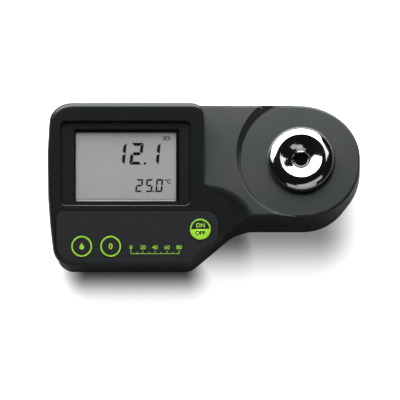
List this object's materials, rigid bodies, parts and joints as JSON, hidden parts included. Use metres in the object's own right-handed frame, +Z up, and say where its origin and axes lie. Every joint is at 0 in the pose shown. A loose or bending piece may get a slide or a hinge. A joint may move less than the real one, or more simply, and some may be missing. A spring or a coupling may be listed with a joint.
{
  "type": "digital refractometer",
  "caption": "Digital refractometer with a sloped display and keypad block, a domed steel sample well on a sunken round deck, and a twist-off battery cover underneath.",
  "frame": {"origin": "centre of the rectangle that bounds the instrument, on the plane it stands on", "axes": "+X from the display block to the sample well, +Y away from the user, +Z up"},
  "size_m": [0.192, 0.1019, 0.0667],
  "materials": {
    "upper_case_abs": "fine moulded satin, near black",
    "lower_case_abs": "fine moulded satin, near black",
    "black_rubber": "matt",
    "zinc_steel": "zinc plated",
    "window_acrylic": "clear, hard coated",
    "display_glass": "grey reflective display",
    "black_plastic": "moulded",
    "circuit_film": "polyester film",
    "keypad_film": "fine textured polyester",
    "key_film": "fine textured polyester, green rim",
    "power_key_film": "fine textured polyester, green",
    "spring_steel": "bright",
    "circuit_board": "solder mask",
    "polished_steel": "mirror polished stainless steel",
    "prism_glass": "polished",
    "lamp_epoxy": "clear epoxy",
    "cable_plastic": "smooth",
    "battery_jacket": "satin"
  },
  "bodies": {
    "case": {"upper_case": "upper_case_abs", "lower_case": "lower_case_abs", "case_gasket": "black_rubber", "foot_1": "black_rubber", "foot_2": "black_rubber", "foot_3": "black_rubber", "foot_4": "black_rubber", "case_screw_1": "zinc_steel", "case_screw_2": "zinc_steel", "case_screw_3": "zinc_steel", "case_screw_4": "zinc_steel", "case_screw_5": "zinc_steel", "case_screw_6": "zinc_steel", "display_window": "window_acrylic", "lcd_frame": "black_plastic", "lcd_panel": "display_glass", "zebra_strip_front": "black_rubber", "zebra_strip_back": "black_rubber", "keypad_circuit": "circuit_film", "keypad_spacer": "keypad_film", "keypad_overlay": "keypad_film", "read_dome": "spring_steel", "zero_dome": "spring_steel", "power_dome": "spring_steel", "main_board": "circuit_board", "processor_chip": "black_plastic", "display_driver_chip": "black_plastic", "keypad_connector": "black_plastic", "battery_connector": "black_plastic", "optics_connector": "black_plastic", "board_screw_1": "zinc_steel", "board_screw_2": "zinc_steel", "board_screw_3": "zinc_steel", "board_screw_4": "zinc_steel", "well_ring": "polished_steel", "well_seal": "black_rubber", "prism": "prism_glass", "prism_seal": "black_rubber", "optics_block": "black_plastic", "lamp_board": "circuit_board", "lamp": "lamp_epoxy", "collimating_lens": "prism_glass", "sensor_board": "circuit_board", "image_sensor": "black_plastic", "temperature_probe": "zinc_steel", "optics_screw_1": "zinc_steel", "optics_screw_2": "zinc_steel", "optics_screw_3": "zinc_steel", "optics_screw_4": "zinc_steel", "optics_cable": "cable_plastic", "battery_lead": "cable_plastic", "battery": "battery_jacket", "battery_clip": "black_plastic"},
    "read_key": {"read_key": "key_film"},
    "zero_key": {"zero_key": "key_film"},
    "power_key": {"power_key": "power_key_film"},
    "battery_door": {"battery_cover": "lower_case_abs", "cover_ring": "black_rubber"}
  },
  "joints": [
    {"name": "read_key_press", "type": "slide", "parent": "case", "child": "read_key", "axis": [0, 0.3502, -0.9367], "range_m": [0, 0.0004], "stiffness_N_per_m": 4000},
    {"name": "zero_key_press", "type": "slide", "parent": "case", "child": "zero_key", "axis": [0, 0.3502, -0.9367], "range_m": [0, 0.0004], "stiffness_N_per_m": 4000},
    {"name": "power_key_press", "type": "slide", "parent": "case", "child": "power_key", "axis": [0, 0.3502, -0.9367], "range_m": [0, 0.0004], "stiffness_N_per_m": 4000},
    {"name": "battery_cover_twist", "type": "hinge", "parent": "case", "child": "battery_door", "pos_m": [-0.045, 0.002, 0.002], "axis": [0, 0, -1], "range_deg": [0, 40]}
  ]
}
